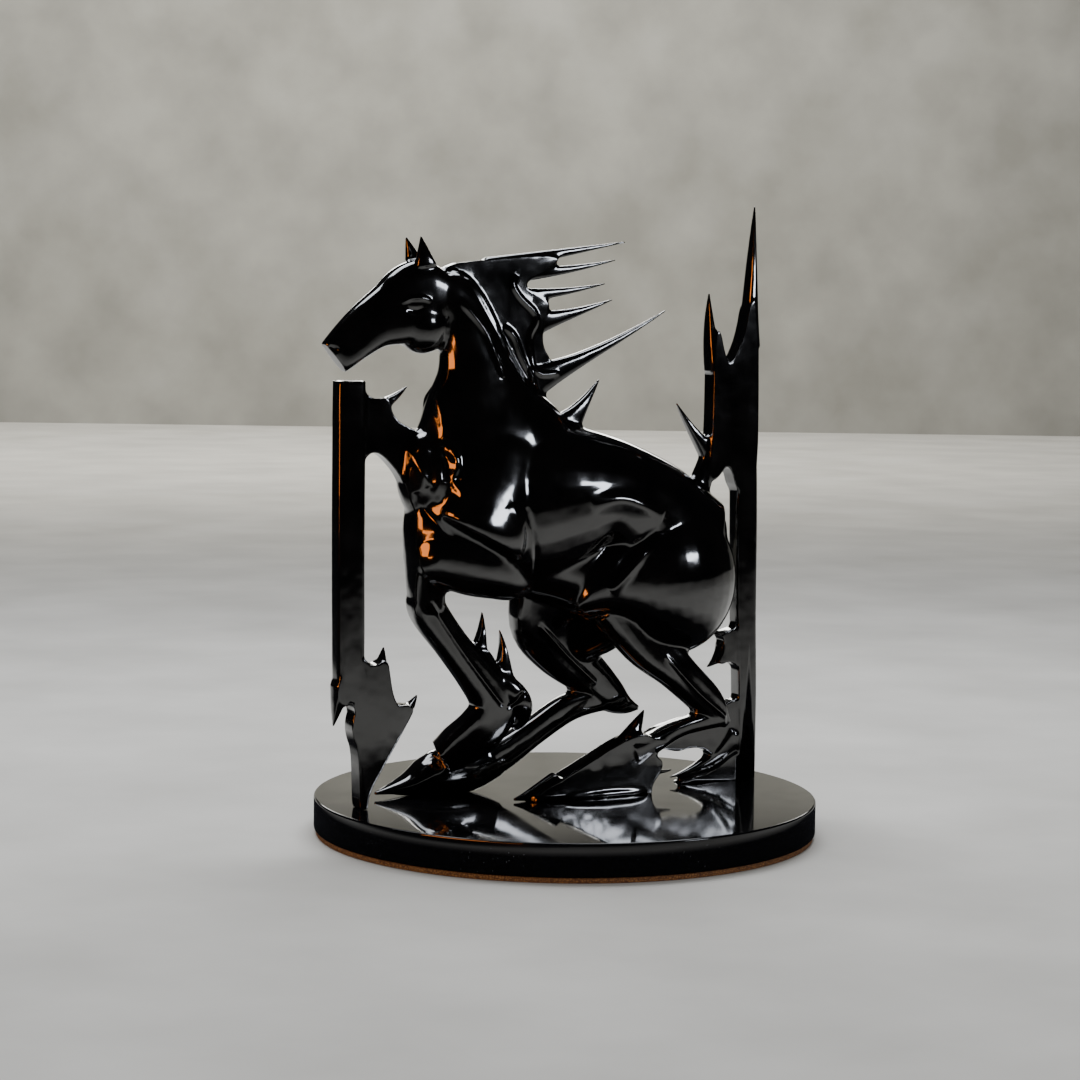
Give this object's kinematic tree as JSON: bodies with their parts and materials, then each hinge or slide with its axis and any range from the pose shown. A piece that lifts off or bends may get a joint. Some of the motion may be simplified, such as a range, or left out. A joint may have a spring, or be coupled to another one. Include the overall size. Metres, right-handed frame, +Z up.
{
  "type": "horse sculpture",
  "caption": "Polished black figure of a running horse with a thorned mane, set between thorned posts on a round base.",
  "frame": {"origin": "middle of the round underside of the pad under the base", "axes": "+Z up, the horse faces -X along the line of the posts, and its near side faces -Y"},
  "size_m": [0.3573, 0.35, 0.4381],
  "materials": {
    "black_bronze": "black patina, polished and lacquered to a high gloss",
    "black_stone": "black stone, polished like a mirror",
    "brown_cork": "thin cork, matt"
  },
  "bodies": {
    "root": {"horse_figure": "black_bronze", "base_disc": "black_stone", "base_pad": "brown_cork"}
  },
  "joints": []
}
